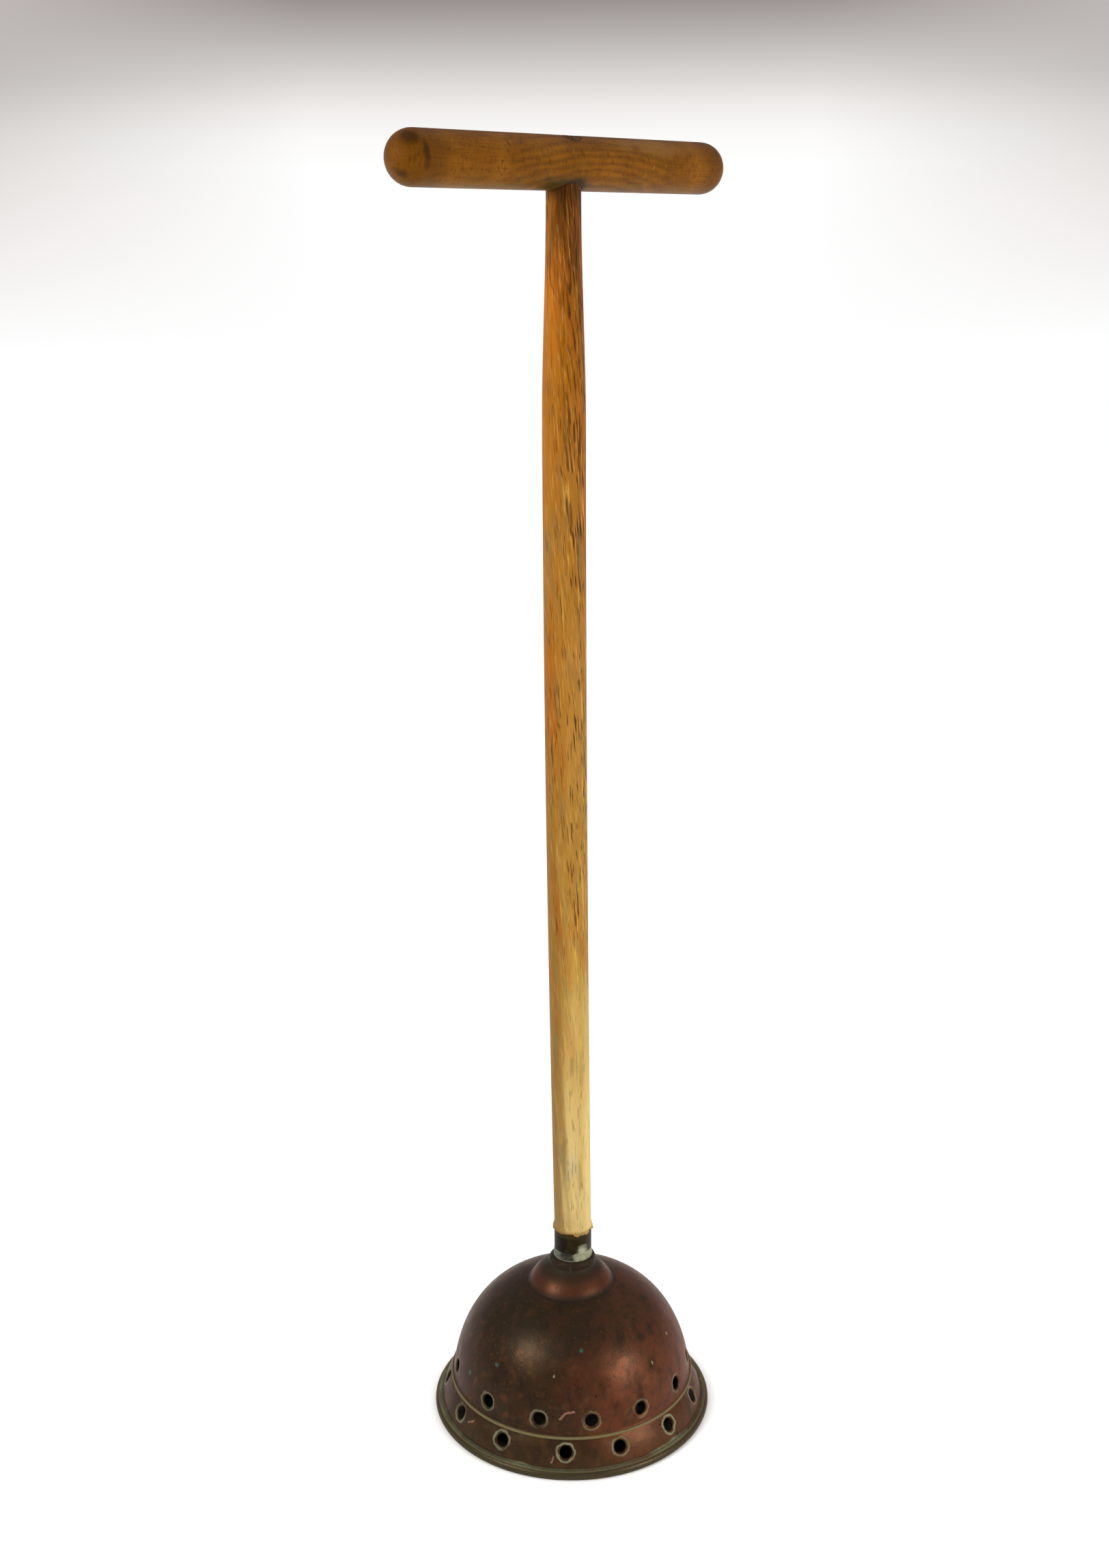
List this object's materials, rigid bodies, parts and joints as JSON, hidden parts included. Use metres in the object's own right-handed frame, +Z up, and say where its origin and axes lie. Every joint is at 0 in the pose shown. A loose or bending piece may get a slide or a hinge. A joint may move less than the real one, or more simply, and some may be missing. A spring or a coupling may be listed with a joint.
{
  "type": "laundry posser",
  "caption": "Hand laundry posser: a domed copper bell with punched air holes and a rolled rim, on a long ash shaft with a crossbar grip.",
  "frame": {"origin": "middle of the rim's footprint, on the surface that the bell stands on", "axes": "+Z up the shaft, X along the crossbar grip, Y across it"},
  "size_m": [0.254, 0.19, 0.8334],
  "materials": {
    "bell_copper": "copper sheet with a dark red-brown patina, worn satin, grey-green deposits on its edges",
    "plate_copper": "copper sheet, dull brown inside the bell",
    "soft_solder": "dull lumpy soft solder, grey with a green cast",
    "socket_iron": "blackened iron tube, brown at its top",
    "rim_iron": "iron wire, hidden in the rolled rim",
    "nail_iron": "rust-browned round nail",
    "shaft_ash": "handled ash, honey brown above and washed pale straw near its foot",
    "bar_wood": "handled hardwood, dark brown and polished by use",
    "wedge_wood": "end grain of a driven wedge, darkened"
  },
  "bodies": {
    "root": {"crossbar": "bar_wood", "tenon_wedge": "wedge_wood", "shaft": "shaft_ash", "socket_tube": "socket_iron", "socket_nail": "nail_iron", "solder_collar": "soft_solder", "bell_dome": "bell_copper", "seam_solder": "soft_solder", "baffle": "plate_copper", "bell_skirt": "bell_copper", "rim_wire": "rim_iron"}
  },
  "joints": []
}
